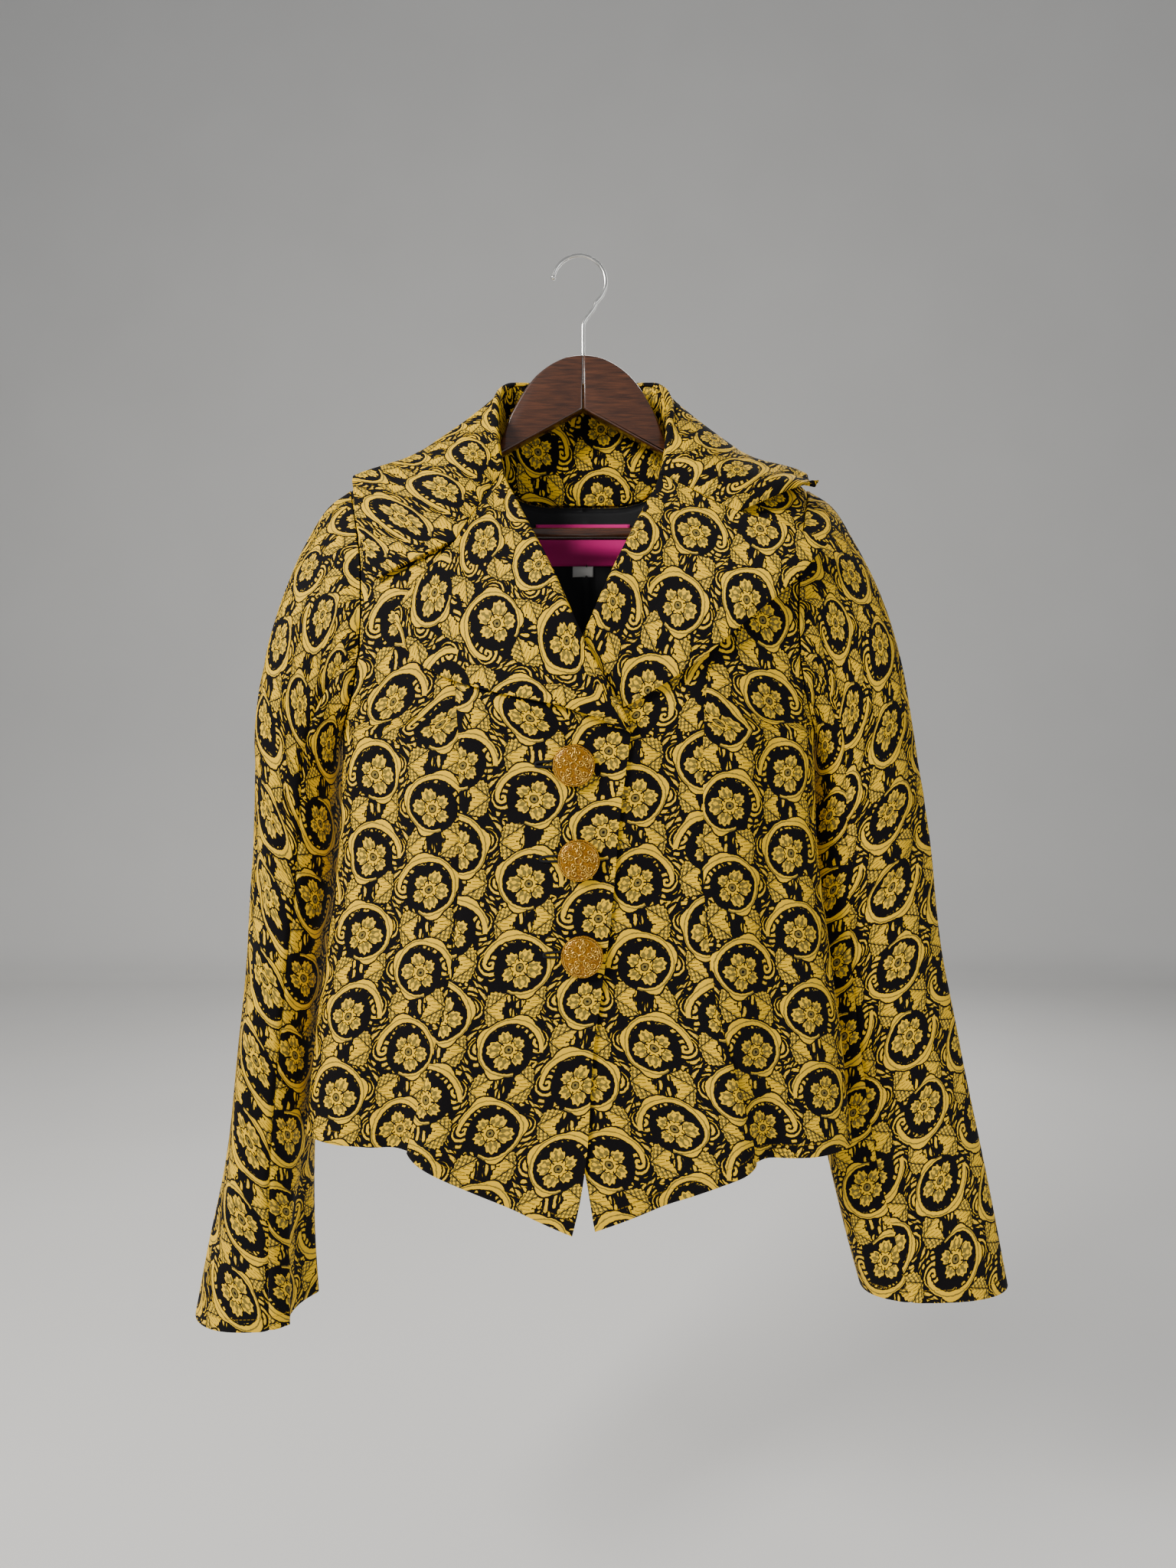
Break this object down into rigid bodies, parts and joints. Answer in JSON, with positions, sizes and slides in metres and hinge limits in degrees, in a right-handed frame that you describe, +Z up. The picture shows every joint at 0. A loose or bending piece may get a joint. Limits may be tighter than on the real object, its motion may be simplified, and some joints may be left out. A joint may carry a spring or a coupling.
{
  "type": "jacquard jacket on a wooden hanger",
  "caption": "Short fitted jacket in gold and black jacquard with a wide notched collar, buttoned, hanging on a dark wooden hanger.",
  "frame": {"origin": "inside top of the hanger's hook, where a peg or rail carries it", "axes": "+Z up, -Y out of the jacket's front, +X to the wearer's left"},
  "size_m": [0.6593, 0.1536, 0.8678],
  "materials": {
    "jacquard": "woven jacquard, gold figures on a black ground, slight sheen",
    "lining": "smooth black satin lining",
    "label_satin": "bright pink woven satin, bare",
    "tape": "white woven tape, bare",
    "gilt_metal": "polished gilt openwork over amber glitter",
    "dark_wood": "dark brown stain under gloss lacquer",
    "steel_wire": "bright plated wire"
  },
  "bodies": {
    "root": {"front_right": "jacquard", "front_left": "jacquard", "side_front_right": "jacquard", "side_front_left": "jacquard", "back_right": "jacquard", "back_left": "jacquard", "sleeve_upper_right": "jacquard", "sleeve_upper_left": "jacquard", "sleeve_under_right": "jacquard", "sleeve_under_left": "jacquard", "lapel_right": "jacquard", "lapel_left": "jacquard", "collar_fall": "jacquard", "collar_stand": "jacquard", "lining_back": "lining", "label": "label_satin", "size_tag": "tape", "button_top": "gilt_metal", "button_middle": "gilt_metal", "button_bottom": "gilt_metal", "hanger_arm_right": "dark_wood", "hanger_arm_left": "dark_wood", "trouser_bar": "dark_wood", "hook": "steel_wire"}
  },
  "joints": []
}
